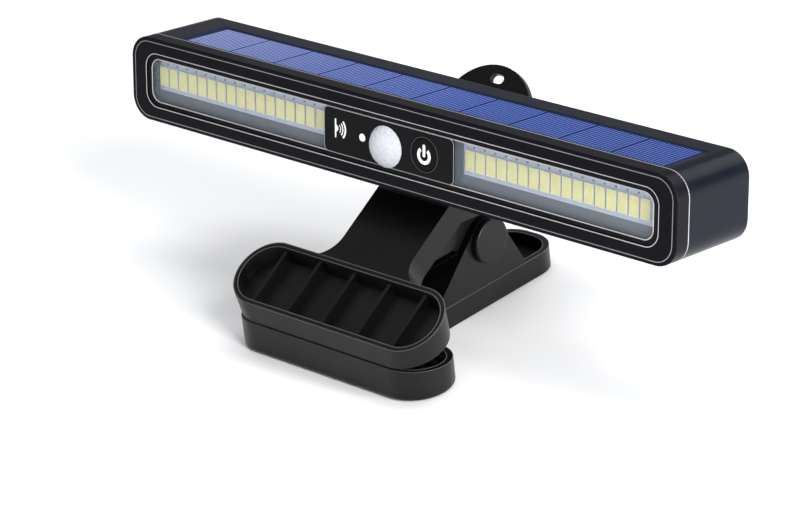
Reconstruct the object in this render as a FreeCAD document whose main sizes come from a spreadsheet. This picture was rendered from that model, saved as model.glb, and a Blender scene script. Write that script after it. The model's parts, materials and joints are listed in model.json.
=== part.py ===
"""Solar LED light bar with a motion sensor, carried by a sprung clamp.

Frame: +Z up, X along the bar, the lamp faces -Y.  The origin is on the clamp's flat
underside, below the throat of the jaws.  Lengths are in millimetres, angles in degrees.

The lamp is drawn upright in its own frame (origin at the middle of its front face, Y into
the body) and then leaned back and lifted onto the clamp by LAMP.  The upper lever is drawn
in three inclined planes: the neck with its jaw, the saddle under the lamp, and the ear.
"""
import FreeCAD, Part
import math
import os
import re
import Sketcher
from FreeCAD import Placement, Rotation, Vector

DIMENSIONS = {
    # lamp body
    "bar_length": 200.0, "bar_height": 24.6, "bar_depth": 29.7, "bar_corner": 6.7,
    "bezel_depth": 3.6, "bezel_edge": 0.4, "seam_depth": 4.8, "shell_wall": 1.8, "back_wall": 2.4,
    "rear_edge": 0.7,
    # window in the front face: groove for the seal, clear opening, panel in the middle
    "groove_length": 188.2, "groove_height": 15.9, "groove_corner": 4.4, "groove_depth": 2.2,
    "window_length": 184.2, "window_height": 12.7, "window_corner": 3.2,
    "seal_front": 0.5, "lens_front": 0.8, "lens_thick": 1.2, "panel_thick": 0.5,
    "panel_length": 47.6, "panel_corner": 1.6, "panel_middle": 0.8,
    # sensor dome, indicator, button
    "dome_radius": 5.85, "dome_rise": 3.4, "dome_neck": 5.0, "dome_drop": 0.74, "dome_wall": 0.9,
    "pilot_radius": 1.1, "pilot_offset": 8.7, "button_radius": 4.6, "button_offset": 14.1,
    "slip": 0.2,
    # LED boards
    "led_count": 17, "led_width": 3.1, "led_height": 5.7, "led_thick": 0.9, "led_face": 3.3, "led_raise": 0.5,
    "left_pitch": 3.92, "right_pitch": 3.72, "row_gap": 26.0, "board_thick": 1.0, "board_height": 9.8,
    "board_length": 69.0, "board_start": 24.8, "tray_thick": 1.2, "tray_height": 17.0, "sill_top": -3.9,
    # electronics and battery
    "main_length": 44.0, "main_height": 18.0, "main_front": 6.6, "main_thick": 1.2,
    "cell_radius": 9.2, "cell_length": 65.0, "cell_middle": 17.2,
    # solar panel
    "solar_length": 178.0, "solar_width": 17.6, "solar_front": 5.6, "solar_recess": 1.3, "solar_shift": 3.3,
    "solar_count": 10, "solar_pitch": 17.4, "solar_gap": 0.5, "wafer_width": 16.2, "wafer_thick": 0.2,
    "glaze_thick": 0.4,
    # tilt hinge between lamp and lever
    "knuckle_radius": 3.3, "knuckle_half": 6.0, "knuckle_back": 19.2, "knuckle_drop": 3.9,
    "bolt_radius": 1.5, "running": 0.05,
    # how the lamp sits on the clamp
    "lamp_lift": 55.2, "lamp_lean": 8.7,
    # clamp
    "jaw_length": 71.5, "jaw_width": 20.7, "jaw_rim": 1.8,
    "tray_length": 74.0, "tray_width": 20.85, "tray_rim": 1.4, "tray_deep": 4.15, "tray_floor": 1.9,
    "tray_back": -24.465, "tray_rise": 20.287, "sole_back": -23.05, "sole_rise": 12.37, "sole_slope": 16.0,
    "rib_count": 5, "rib_pitch": 13.0, "rib_thick": 1.1, "neck_slope": 30.0, "neck_below": 2.6,
    "neck_half": 13.1, "neck_fillet": 8.5, "neck_deep": 7.6, "flange_deep": 6.1, "flange_thick": 1.8,
    "plate_thick": 2.2, "saddle_front": 8.5, "saddle_rear": 26.0,
    "ear_slope": 48.0, "ear_radius": 16.2, "ear_thick": 1.8, "ear_reach": 37.9, "ear_rise": 48.0,
    "hang_length": 4.8, "hang_width": 2.7, "hang_offset": 12.2,
    "pivot_back": 24.0, "pivot_rise": 19.5, "pivot_radius": 1.5, "pivot_reach": 11.2,
    "outer_lug": 9.4, "inner_lug": 7.2, "lug_thick": 1.8, "lug_front": -3.5, "lug_run": 17.0, "web_front": -4.0,
    "web_under": 20.5, "web_bend": 12.5, "post_start": 6.3, "post_radius": 3.6,
    "cap_radius": 6.5, "cap_thick": 2.0,
    "base_front": -33.4, "base_rear": 54.5, "base_half": 11.3, "base_wall": 6.3, "base_floor": 2.4,
    "base_corner": 9.5, "jaw_front_rise": 9.0, "jaw_rear_rise": 7.2, "tooth_pitch": 3.9, "tooth_thick": 1.3,
    # torsion spring
    "wire_radius": 0.65, "coil_radius": 4.3, "coil_pitch": 1.55, "coil_turns": 7,
}

doc = FreeCAD.newDocument("LightBar")
sheet = doc.addObject("Spreadsheet::Sheet", "Sheet")
for line_number, (alias, number) in enumerate(DIMENSIONS.items(), start=1):
    sheet.set(f"A{line_number}", alias)
    sheet.set(f"B{line_number}", str(number))
    sheet.setAlias(f"B{line_number}", alias)
doc.recompute()

X_AXIS = Vector(1, 0, 0)
Y_AXIS = Vector(0, 1, 0)
Z_AXIS = Vector(0, 0, 1)


def val(text):
    """The value of a sum of aliases and numbers, worked out by the document."""
    return float(sheet.evalExpression(bound(text)))


def bound(text):
    """Turns the aliases in a sum into references to the sheet's cells."""
    return re.sub(r"[A-Za-z_]\w*", lambda word: "Sheet." + word.group() if word.group() in DIMENSIONS
                  else word.group(), str(text))


def bind(obj, prop, text):
    obj.setExpression(prop, bound(text))


LAMP = Placement(Vector(0, 0, val("lamp_lift")), Rotation(X_AXIS, -val("lamp_lean")))

sub_parts = []


def finished(obj, name, place=None):
    """Names a finished sub-part and puts it in its place."""
    obj.Label = name
    if place is not None:
        obj.Placement = place
    sub_parts.append(obj)
    return obj


# ---------------------------------------------------------------- primitives and booleans

def box(name, size, low):
    """A block from three sizes and the place of its low corner, all bound to the sheet."""
    obj = doc.addObject("Part::Box", name)
    for prop, text in zip(("Length", "Width", "Height"), size):
        bind(obj, prop, text)
    for axis, text in zip("xyz", low):
        bind(obj, "Placement.Base." + axis, text)
    return obj


def rod(name, radius, length, start, direction):
    """A cylinder of bound radius and length that starts at a point and runs along a direction."""
    obj = doc.addObject("Part::Cylinder", name)
    bind(obj, "Radius", radius)
    bind(obj, "Height", length)
    obj.Placement = Placement(Vector(*[val(text) for text in start]), Rotation(Z_AXIS, direction))
    return obj


def fuse(name, shapes):
    obj = doc.addObject("Part::MultiFuse", name)
    obj.Shapes = shapes
    return obj


def cut(name, base, tool):
    obj = doc.addObject("Part::Cut", name)
    obj.Base = base
    obj.Tool = tool
    return obj


def group(name, shapes):
    """Several separate solids, or one, kept together as one sub-part."""
    obj = doc.addObject("Part::Compound", name)
    obj.Links = shapes
    return obj


# ---------------------------------------------------------------- bodies, sketches, features

def new_body(name):
    return doc.addObject("PartDesign::Body", name)


def sketch_on(body, role, offset=None):
    """A sketch on one of the body's own origin planes, moved by an offset in that plane's frame."""
    sketch = body.newObject("Sketcher::SketchObject", body.Name + "_sketch")
    support = next(item for item in body.Origin.OriginFeatures if item.Role == role)
    sketch.AttachmentSupport = [(support, "")]
    sketch.MapMode = "FlatFace"
    sketch.AttachmentOffset = offset or Placement()
    return sketch


def front_sketch(body, middle_x, depth, middle_z):
    """A sketch parallel to the lamp's front face, at a depth behind it."""
    return sketch_on(body, "XZ_Plane", Placement(Vector(middle_x, middle_z, -depth), Rotation()))


def side_sketch(body, start_x):
    """A sketch in the Y-Z plane, whose features grow from start_x towards +X."""
    return sketch_on(body, "YZ_Plane", Placement(Vector(0, 0, start_x), Rotation()))


def slope_sketch(body, frame):
    """A sketch in an inclined plane: frame says where its middle is and how it leans."""
    return sketch_on(body, "XY_Plane", frame)


def constrain(sketch, *args):
    return sketch.addConstraint(Sketcher.Constraint(*args))


def rounded_rectangle(sketch, width, height, radius):
    """A rectangle with round corners about the sketch's origin, bound to the sheet."""
    half_w = val(width) / 2
    half_h = val(height) / 2
    r = val(radius)
    first = sketch.GeometryCount
    ends = [((r - half_w, -half_h), (half_w - r, -half_h)), ((half_w, r - half_h), (half_w, half_h - r)),
            ((half_w - r, half_h), (r - half_w, half_h)), ((-half_w, half_h - r), (-half_w, r - half_h))]
    centres = [(half_w - r, r - half_h), (half_w - r, half_h - r), (r - half_w, half_h - r), (r - half_w, r - half_h)]
    for (x0, y0), (x1, y1) in ends:
        sketch.addGeometry(Part.LineSegment(Vector(x0, y0, 0), Vector(x1, y1, 0)))
    for number, (x, y) in enumerate(centres):
        circle = Part.Circle(Vector(x, y, 0), Z_AXIS, r)
        start = math.radians(270 + 90 * number)
        sketch.addGeometry(Part.ArcOfCircle(circle, start, start + math.pi / 2))
    for number in range(4):
        arc = first + 4 + number
        constrain(sketch, "Tangent", first + number, 2, arc, 1)
        constrain(sketch, "Tangent", arc, 2, first + (number + 1) % 4, 1)
        constrain(sketch, ("Horizontal", "Vertical")[number % 2], first + number)
    for number in range(1, 4):
        constrain(sketch, "Equal", first + 4, first + 4 + number)
    constrain(sketch, "Symmetric", first + 4, 3, first + 6, 3, -1, 1)
    corner = constrain(sketch, "Radius", first + 4, r)
    across = constrain(sketch, "DistanceX", first + 3, 1, first + 1, 1, 2 * half_w)
    up = constrain(sketch, "DistanceY", first, 1, first + 2, 1, 2 * half_h)
    bind(sketch, f"Constraints[{corner}]", radius)
    bind(sketch, f"Constraints[{across}]", width)
    bind(sketch, f"Constraints[{up}]", height)


def stadium(sketch, length, width):
    """A slot outline with two half-round ends about the sketch's origin, bound to the sheet."""
    r = val(width) / 2
    reach = val(length) / 2 - r
    first = sketch.GeometryCount
    sketch.addGeometry(Part.LineSegment(Vector(-reach, -r, 0), Vector(reach, -r, 0)))
    sketch.addGeometry(Part.LineSegment(Vector(reach, r, 0), Vector(-reach, r, 0)))
    for side, start in ((1, -math.pi / 2), (-1, math.pi / 2)):
        circle = Part.Circle(Vector(side * reach, 0, 0), Z_AXIS, r)
        sketch.addGeometry(Part.ArcOfCircle(circle, start, start + math.pi))
    constrain(sketch, "Tangent", first, 2, first + 2, 1)
    constrain(sketch, "Tangent", first + 2, 2, first + 1, 1)
    constrain(sketch, "Tangent", first + 1, 2, first + 3, 1)
    constrain(sketch, "Tangent", first + 3, 2, first, 1)
    constrain(sketch, "Horizontal", first)
    constrain(sketch, "Horizontal", first + 1)
    constrain(sketch, "Symmetric", first + 2, 3, first + 3, 3, -1, 1)
    end = constrain(sketch, "Radius", first + 2, r)
    across = constrain(sketch, "DistanceX", first + 3, 3, first + 2, 3, 2 * reach)
    bind(sketch, f"Constraints[{end}]", f"({width}) / 2")
    bind(sketch, f"Constraints[{across}]", f"({length}) - ({width})")


def circle_at_origin(sketch, radius):
    sketch.addGeometry(Part.Circle(Vector(), Z_AXIS, val(radius)))
    number = sketch.GeometryCount - 1
    constrain(sketch, "Coincident", number, 3, -1, 1)
    size = constrain(sketch, "Radius", number, val(radius))
    bind(sketch, f"Constraints[{size}]", radius)


def circles(sketch, radius, centres):
    for x, y in centres:
        sketch.addGeometry(Part.Circle(Vector(x, y, 0), Z_AXIS, val(radius)))


def polygon(sketch, points):
    """A closed outline of straight lines through the points."""
    first = sketch.GeometryCount
    count = len(points)
    for number, (x, y) in enumerate(points):
        next_x, next_y = points[(number + 1) % count]
        sketch.addGeometry(Part.LineSegment(Vector(x, y, 0), Vector(next_x, next_y, 0)))
    for number in range(count):
        constrain(sketch, "Coincident", first + number, 2, first + (number + 1) % count, 1)


def pad(body, sketch, length, reverse=False):
    feature = body.newObject("PartDesign::Pad", body.Name + "_pad")
    feature.Profile = sketch
    bind(feature, "Length", length)
    feature.Reversed = reverse
    doc.recompute()
    return feature


def pocket(body, sketch, depth, reverse=False):
    """Cuts the sketch's outline out of the body, and stops if that took nothing away."""
    before = body.Shape.Volume
    feature = body.newObject("PartDesign::Pocket", body.Name + "_pocket")
    feature.Profile = sketch
    bind(feature, "Length", depth)
    feature.Reversed = reverse
    doc.recompute()
    if body.Shape.Volume > before - 1e-3:
        raise RuntimeError(f"{feature.Name} cut nothing")
    return feature


def revolve(body, sketch):
    """Turns the outline a full turn about the sketch's vertical axis."""
    feature = body.newObject("PartDesign::Revolution", body.Name + "_turned")
    feature.Profile = sketch
    feature.ReferenceAxis = (sketch, ["V_Axis"])
    feature.Angle = 360
    doc.recompute()
    return feature


def edges_where(feature, test):
    """The names of the feature's edges whose every vertex passes the test."""
    return [f"Edge{number}" for number, edge in enumerate(feature.Shape.Edges, start=1)
            if all(test(vertex.Point) for vertex in edge.Vertexes)]


def dress(body, kind, feature, names, prop, size):
    """A fillet or a chamfer on the named edges of a feature."""
    dressed = body.newObject("PartDesign::" + kind, body.Name + "_" + kind.lower())
    dressed.Base = (feature, names)
    bind(dressed, prop, size)
    doc.recompute()
    return dressed


# ---------------------------------------------------------------- lamp housing

def tilt_bolt_centre():
    """The tilt hinge's axis in the lamp's frame, as (depth, height)."""
    return val("knuckle_back"), -val("bar_height / 2 + knuckle_drop")


def screw_places():
    """The four case screws, as (x, z) in the lamp's frame."""
    reach = val("bar_length / 2 - 4.0")
    rise = 5.5
    return [(side * reach, up * rise) for side in (-1, 1) for up in (-1, 1)]


def make_housing():
    """Rear shell: an open box with a solar recess in its roof and the hinge knuckle below."""
    body = new_body("housing")
    depth = val("seam_depth")
    outline = front_sketch(body, 0, depth, 0)
    rounded_rectangle(outline, "bar_length", "bar_height", "bar_corner")
    shell = pad(body, outline, "bar_depth - seam_depth", reverse=True)
    rear = val("bar_depth")
    names = edges_where(shell, lambda point: abs(point.y - rear) < 1e-3)
    dress(body, "Fillet", shell, names, "Radius", "rear_edge")
    cavity = front_sketch(body, 0, depth, 0)
    rounded_rectangle(cavity, "bar_length - 2 * shell_wall", "bar_height - 2 * shell_wall",
                      "bar_corner - shell_wall")
    pocket(body, cavity, "bar_depth - seam_depth - back_wall")
    middle = val("solar_front + solar_width / 2")
    top = val("bar_height / 2")
    recess = slope_sketch(body, Placement(Vector(val("solar_shift"), middle, top), Rotation()))
    rounded_rectangle(recess, "solar_length", "solar_width", "0.8")
    pocket(body, recess, "solar_recess")
    lead_hole = slope_sketch(body, Placement(Vector(0, middle, top), Rotation()))
    circle_at_origin(lead_hole, "1.5")
    pocket(body, lead_hole, "shell_wall + 1")
    heads = front_sketch(body, 0, rear, 0)
    circles(heads, "2.4", screw_places())
    pocket(body, heads, "1.3", reverse=True)
    shanks = front_sketch(body, 0, rear, 0)
    circles(shanks, "1.3", screw_places())
    pocket(body, shanks, "back_wall + 0.5", reverse=True)
    back, drop = tilt_bolt_centre()
    radius = val("knuckle_radius")
    web = side_sketch(body, -val("knuckle_half"))
    polygon(web, [(back - radius, drop), (back + radius, drop), (back + radius, drop + val("knuckle_drop") + 0.6),
                  (back - radius, drop + val("knuckle_drop") + 0.6)])
    pad(body, web, "2 * knuckle_half")
    eye = side_sketch(body, -val("knuckle_half"))
    circles(eye, "knuckle_radius", [(back, drop)])
    pad(body, eye, "2 * knuckle_half")
    hole = side_sketch(body, val("knuckle_half") + 1)
    circles(hole, "bolt_radius + running", [(back, drop)])
    pocket(body, hole, "2 * knuckle_half + 2")
    finished(body, "housing", LAMP)


def make_front_bezel():
    """Front frame: plate with a stepped window, a skirt round its back and four screw posts."""
    body = new_body("front_bezel")
    outline = front_sketch(body, 0, 0, 0)
    rounded_rectangle(outline, "bar_length", "bar_height", "bar_corner")
    plate = pad(body, outline, "seam_depth", reverse=True)
    names = edges_where(plate, lambda point: abs(point.y) < 1e-3)
    dress(body, "Fillet", plate, names, "Radius", "bezel_edge")
    groove = front_sketch(body, 0, 0, 0)
    rounded_rectangle(groove, "groove_length", "groove_height", "groove_corner")
    pocket(body, groove, "groove_depth")
    window = front_sketch(body, 0, 0, 0)
    rounded_rectangle(window, "window_length", "window_height", "window_corner")
    pocket(body, window, "bezel_depth")
    skirt = front_sketch(body, 0, val("bezel_depth"), 0)
    rounded_rectangle(skirt, "bar_length - 2 * shell_wall", "bar_height - 2 * shell_wall",
                      "bar_corner - shell_wall")
    pocket(body, skirt, "seam_depth - bezel_depth")
    posts = front_sketch(body, 0, val("bezel_depth"), 0)
    circles(posts, "2.1", screw_places())
    pad(body, posts, "bar_depth - back_wall - bezel_depth", reverse=True)
    pilots = front_sketch(body, 0, val("bar_depth"), 0)
    circles(pilots, "1.25", screw_places())
    pocket(body, pilots, "back_wall + 8", reverse=True)
    finished(body, "front_bezel", LAMP)


def make_lens_seal():
    """Rubber ring in the groove around the window."""
    body = new_body("lens_seal")
    outer = front_sketch(body, 0, val("seal_front"), 0)
    rounded_rectangle(outer, "groove_length", "groove_height", "groove_corner")
    pad(body, outer, "groove_depth - seal_front", reverse=True)
    inner = front_sketch(body, 0, 0, 0)
    rounded_rectangle(inner, "window_length", "window_height", "window_corner")
    pocket(body, inner, "groove_depth + 1")
    finished(body, "lens_seal", LAMP)


def control_holes(body, depth, length):
    """The three holes for dome, indicator and button through a lens or a panel."""
    for radius, middle_x, middle_z in (("dome_neck + slip", 0, -val("dome_drop")),
                                       ("pilot_radius + 0.05", -val("pilot_offset"), 0),
                                       ("button_radius + slip", val("button_offset"), 0)):
        hole = front_sketch(body, middle_x, depth, middle_z)
        circle_at_origin(hole, radius)
        pocket(body, hole, length)


def make_window_lens():
    """Clear cover over both LED rows, with the control panel's holes through its middle."""
    body = new_body("window_lens")
    outline = front_sketch(body, 0, val("lens_front"), 0)
    rounded_rectangle(outline, "window_length", "window_height", "window_corner")
    pad(body, outline, "lens_thick", reverse=True)
    control_holes(body, 0, "lens_front + lens_thick + 1")
    finished(body, "window_lens", LAMP)


def make_centre_panel():
    """Glossy control plate laid on the lens between the LED rows."""
    body = new_body("centre_panel")
    outline = front_sketch(body, val("panel_middle"), val("lens_front - panel_thick"), 0)
    rounded_rectangle(outline, "panel_length", "window_height", "panel_corner")
    pad(body, outline, "panel_thick", reverse=True)
    control_holes(body, 0, "lens_front + 1")
    finished(body, "centre_panel", LAMP)


def turned(name, middle_x, middle_z, points):
    """A turned piece about an axis along Y: each point of its outline is (radius, depth)."""
    body = new_body(name)
    facing = Placement(Vector(middle_x, 0, middle_z), Rotation())
    sketch = sketch_on(body, "XY_Plane", facing)
    for start, end in zip(points[:-1], points[1:]):
        sketch.addGeometry(Part.LineSegment(Vector(*start, 0), Vector(*end, 0)))
    revolve(body, sketch)
    return finished(body, name, LAMP)


def cap_middle(radius, rise):
    """The point half-way along a shallow dome's profile, as (radius, rise)."""
    ball = (radius ** 2 + rise ** 2) / (2 * rise)
    half = math.asin(radius / ball) / 2
    return ball * math.sin(half), ball * math.cos(half) - ball + rise


def make_pir_dome():
    """Faceted sensor lens: a shallow hollow dome on a neck, held by a flange behind the window."""
    front = val("lens_front - panel_thick")
    radius = val("dome_radius")
    rise = val("dome_rise")
    neck = val("dome_neck")
    wall = val("dome_wall")
    flange = val("lens_front + lens_thick")
    bore = neck - wall
    outer_r, outer_rise = cap_middle(radius, rise)
    inner_rise = (rise - wall) * 0.8
    inner_r, inner_mid = cap_middle(bore, inner_rise)
    points = [(0, front - rise), (0, front - inner_rise)]
    more = [(bore, front), (bore, flange + 0.8), (neck + 0.6, flange + 0.8), (neck + 0.6, flange), (neck, flange),
            (neck, front), (radius, front)]
    body = new_body("pir_dome")
    sketch = sketch_on(body, "XY_Plane", Placement(Vector(0, 0, -val("dome_drop")), Rotation()))
    for chain in (points, more):
        for start, end in zip(chain[:-1], chain[1:]):
            sketch.addGeometry(Part.LineSegment(Vector(*start, 0), Vector(*end, 0)))
    for first, middle, last in (((0, front - rise), (outer_r, front - outer_rise), (radius, front)),
                                ((0, front - inner_rise), (inner_r, front - inner_mid), (bore, front))):
        sketch.addGeometry(Part.Arc(Vector(*first, 0), Vector(*middle, 0), Vector(*last, 0)))
    revolve(body, sketch)
    finished(body, "pir_dome", LAMP)


def make_pir_sensor():
    """Metal can of the heat sensor behind the dome, standing on the main board."""
    base = val("main_front")
    points = [(0, base), (0, base - 3.6), (4.0, base - 3.6), (4.0, base - 0.6), (4.5, base - 0.6), (4.5, base),
              (0, base)]
    turned("pir_sensor", 0, -val("dome_drop"), points)


def make_indicator():
    """Light pipe of the round indicator beside the dome, and its LED on the main board."""
    front = val("lens_front - panel_thick")
    end = val("main_front") - 0.9
    radius = val("pilot_radius")
    flange = val("lens_front + lens_thick")
    points = [(0, front), (radius, front), (radius, flange), (radius + 0.4, flange), (radius + 0.4, flange + 0.8),
              (radius, flange + 0.8), (radius, end), (0, end), (0, front)]
    turned("indicator_lens", -val("pilot_offset"), 0, points)
    chip = box("indicator_chip", ("1.6", "0.8", "1.6"), ("-pilot_offset - 0.8", "main_front - 0.8", "-0.8"))
    finished(group("indicator_led", [chip]), "indicator_led", LAMP)


def make_power_button():
    """Round push cap with a stem behind it and a flange that keeps it in the panel."""
    front = val("lens_front - panel_thick") - 0.1
    flange = val("lens_front + lens_thick") + 0.05
    radius = val("button_radius")
    stem_end = val("main_front") - 3.0
    points = [(0, front), (radius - 0.3, front), (radius, front + 0.3), (radius, flange), (radius + 0.7, flange),
              (radius + 0.7, flange + 0.6), (1.8, flange + 0.6), (1.8, stem_end), (0, stem_end), (0, front)]
    turned("power_button", val("button_offset"), 0, points)


def make_tact_switch():
    """Push switch under the button: a square case and its plunger."""
    case = box("switch_case", ("6", "1.8", "6"), ("button_offset - 3", "main_front - 1.8", "-3"))
    plunger = rod("switch_plunger", "1.6", "0.55", ("button_offset", "main_front - 2.35", "0"), Y_AXIS)
    finished(fuse("tact_switch", [case, plunger]), "tact_switch", LAMP)


# ---------------------------------------------------------------- LED boards

def make_led_side(name, side):
    """One LED row: board, packages and the dark carrier that shades the lower edge of the window."""
    board_back = "led_face + led_thick + board_thick"
    low_x = "board_start" if side > 0 else "-board_start - board_length"
    board = box(f"board_{name}", ("board_length", "board_thick", "board_height"),
                (low_x, "led_face + led_thick", "sill_top"))
    finished(group(f"led_board_{name}", [board]), f"led_board_{name}", LAMP)
    packages = []
    for number in range(int(val("led_count"))):
        step = f"row_gap + {number} * {name}_pitch"
        start = step if side > 0 else f"-({step}) - led_width"
        packages.append(box(f"led_{name}_{number}", ("led_width", "led_thick", "led_height"),
                            (start, "led_face", "led_raise - led_height / 2")))
    finished(group(f"leds_{name}", packages), f"leds_{name}", LAMP)
    body = new_body(f"led_tray_{name}")
    middle = side * val("board_start + board_length / 2")
    plate = front_sketch(body, middle, val(board_back), 0)
    rounded_rectangle(plate, "board_length", "tray_height", "1")
    pad(body, plate, "tray_thick", reverse=True)
    floor = -val("window_height") / 2
    sill = side_sketch(body, middle - val("board_length") / 2)
    polygon(sill, [(val("bezel_depth") + 0.05, floor - 0.8), (val(board_back) + 0.2, floor - 0.8),
                   (val(board_back) + 0.2, val("sill_top")), (val("led_face + led_thick"), val("sill_top")),
                   (val("bezel_depth") + 0.05, floor + 0.9)])
    pad(body, sill, "board_length")
    finished(body, f"led_tray_{name}", LAMP)


# ---------------------------------------------------------------- electronics and battery

def make_main_board():
    """Control board behind the panel, and the parts soldered to its front."""
    board = box("board_main", ("main_length", "main_thick", "main_height"),
                ("-main_length / 2", "main_front", "-main_height / 2"))
    finished(group("main_board", [board]), "main_board", LAMP)
    chips = [box("chip_control", ("5", "1.2", "4"), ("-19", "main_front - 1.2", "3.5")),
             box("chip_charge", ("3", "1.2", "3"), ("-19", "main_front - 1.2", "-6.5")),
             box("chip_driver", ("4", "1.4", "3"), ("4", "main_front - 1.4", "5.2")),
             box("socket_battery", ("5", "2.4", "3"), ("-8", "main_front - 2.4", "-8.8"))]
    finished(group("board_chips", chips), "board_chips", LAMP)


def make_battery():
    """Rechargeable cell along the bar, its cradle and the two contact plates."""
    can = rod("cell_can", "cell_radius", "cell_length", ("-cell_length / 2", "cell_middle", "0"), X_AXIS)
    nub = rod("cell_nub", "2.8", "0.8", ("cell_length / 2", "cell_middle", "0"), X_AXIS)
    finished(fuse("battery_cell", [can, nub]), "battery_cell", LAMP)
    plates = [rod("contact_left", "3.6", "0.4", ("-cell_length / 2 - 0.4", "cell_middle", "0"), X_AXIS),
              rod("contact_right", "3.6", "0.4", ("cell_length / 2 + 0.8", "cell_middle", "0"), X_AXIS)]
    finished(group("battery_contacts", plates), "battery_contacts", LAMP)
    floor = "-bar_height / 2 + shell_wall"
    block = box("cradle_block", ("cell_length + 8", "2 * cell_radius", "6.5"),
                ("-cell_length / 2 - 4", "cell_middle - cell_radius", floor))
    bed = rod("cradle_bed", "cell_radius + 0.05", "cell_length + 2.8",
              ("-cell_length / 2 - 1.2", "cell_middle", "0"), X_AXIS)
    finished(cut("battery_cradle", block, bed), "battery_cradle", LAMP)


def wire_along(points, wire_radius, bend):
    """A round wire along straight runs joined by tangent arcs."""
    corners = [Vector(*point) for point in points]
    edges = []
    last = corners[0]
    for before, corner, after in zip(corners[:-2], corners[1:-1], corners[2:]):
        back = (before - corner).normalize()
        ahead = (after - corner).normalize()
        half = (math.pi - back.getAngle(ahead)) / 2
        trim = bend * math.tan(half)
        start = corner + back * trim
        end = corner + ahead * trim
        middle = corner + (back + ahead).normalize() * (bend / math.cos(half) - bend)
        edges += [Part.LineSegment(last, start).toShape(), Part.Arc(start, middle, end).toShape()]
        last = end
    edges.append(Part.LineSegment(last, corners[-1]).toShape())
    path = Part.Wire(edges)
    ring = Part.Wire([Part.Circle(corners[0], corners[1] - corners[0], wire_radius).toShape()])
    return path.makePipeShell([ring], True, False)


def make_wires():
    """Insulated leads inside the housing: solar panel and battery to the main board."""
    half_cell = val("cell_length") / 2
    middle = val("cell_middle")
    behind = val("main_front + main_thick")
    roof = val("bar_height / 2 - shell_wall")
    hole = val("solar_front + solar_width / 2")
    radius = 0.45
    solar = []
    for side in (-1, 1):
        solar.append(wire_along([(side * 0.6, hole, roof + 0.35), (side * 0.6, hole, roof - 0.55),
                                 (side * 12.0, 9.2, roof - 0.55), (side * 12.0, 9.2, 8.4),
                                 (side * 12.0, behind, 8.4)], radius, 0.5))
    leads = doc.addObject("Part::Feature", "solar_leads")
    leads.Shape = Part.makeCompound(solar)
    finished(leads, "solar_leads", LAMP)
    battery = []
    for side in (-1, 1):
        end = side * (half_cell + (0.4 if side < 0 else 1.2))
        battery.append(wire_along([(end, middle, 2.5), (end + side * 1.2, middle, 2.5),
                                   (end + side * 1.2, middle, 8.6), (end + side * 1.2, 8.9, 8.6),
                                   (side * 20.5, 8.9, 8.6), (side * 20.5, behind, 8.6)], radius, 0.55))
    leads = doc.addObject("Part::Feature", "battery_leads")
    leads.Shape = Part.makeCompound(battery)
    finished(leads, "battery_leads", LAMP)


# ---------------------------------------------------------------- solar panel

def make_solar_panel():
    """Base board in the roof's recess, a row of wafers on it, and clear resin flush with the roof."""
    floor = "bar_height / 2 - solar_recess"
    base_thick = "solar_recess - wafer_thick - glaze_thick"
    body = new_body("solar_base")
    middle = val("solar_front + solar_width / 2")
    outline = slope_sketch(body, Placement(Vector(val("solar_shift"), middle, val(floor)), Rotation()))
    rounded_rectangle(outline, "solar_length - 0.1", "solar_width - 0.1", "0.75")
    pad(body, outline, base_thick)
    finished(body, "solar_base", LAMP)
    wafers = []
    for number in range(int(val("solar_count"))):
        start = f"({number} - solar_count / 2) * solar_pitch + solar_gap / 2 + solar_shift"
        wafers.append(box(f"wafer_{number}", ("solar_pitch - solar_gap", "wafer_width", "wafer_thick"),
                          (start, "solar_front + (solar_width - wafer_width) / 2", f"{floor} + {base_thick}")))
    finished(group("solar_cells", wafers), "solar_cells", LAMP)
    resin = new_body("solar_resin")
    glaze = Vector(val("solar_shift"), middle, val(f"{floor} + {base_thick} + wafer_thick"))
    top = slope_sketch(resin, Placement(glaze, Rotation()))
    rounded_rectangle(top, "solar_length - 0.1", "solar_width - 0.1", "0.75")
    pad(resin, top, "glaze_thick")
    finished(resin, "solar_resin", LAMP)


def make_case_screws():
    """Four pan-head screws that draw the bezel's posts against the back wall."""
    screws = []
    rear = val("bar_depth")
    for number, (x, z) in enumerate(screw_places()):
        head = rod(f"screw_head_{number}", "2.2", "1.2", (x, rear - 1.3, z), Y_AXIS)
        shank = rod(f"screw_shank_{number}", "1.25", "9", (x, rear - 10.3, z), Y_AXIS)
        socket = rod(f"screw_drive_{number}", "0.9", "0.7", (x, rear - 0.8, z), Y_AXIS)
        whole = fuse(f"screw_whole_{number}", [head, shank])
        screws.append(cut(f"screw_{number}", whole, socket))
    finished(group("case_screws", screws), "case_screws", LAMP)


# ---------------------------------------------------------------- clamp

def tangent_point(point, centre, radius, side):
    """Where a line from the point touches the circle, passing it on its left (+1) or right (-1)."""
    dy = centre[0] - point[0]
    dz = centre[1] - point[1]
    distance = math.hypot(dy, dz)
    turn = math.atan2(dz, dy) + side * math.asin(radius / distance)
    run = math.sqrt(distance ** 2 - radius ** 2)
    return point[0] + run * math.cos(turn), point[1] + run * math.sin(turn)


def along(slope, run, rise=0.0):
    """A step along an inclined plane and up its normal, as (y, z)."""
    angle = math.radians(slope)
    return run * math.cos(angle) - rise * math.sin(angle), run * math.sin(angle) + rise * math.cos(angle)


def shifted(point, step):
    return point[0] + step[0], point[1] + step[1]


def sloped_frame(point, slope):
    return Placement(Vector(0, *point), Rotation(X_AXIS, slope))


def pivot():
    return val("pivot_back"), val("pivot_rise")


def tilt_axis():
    """The tilt hinge's axis in the part's frame, as (y, z)."""
    back, drop = tilt_bolt_centre()
    point = LAMP.multVec(Vector(0, back, drop))
    return point.y, point.z


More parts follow.
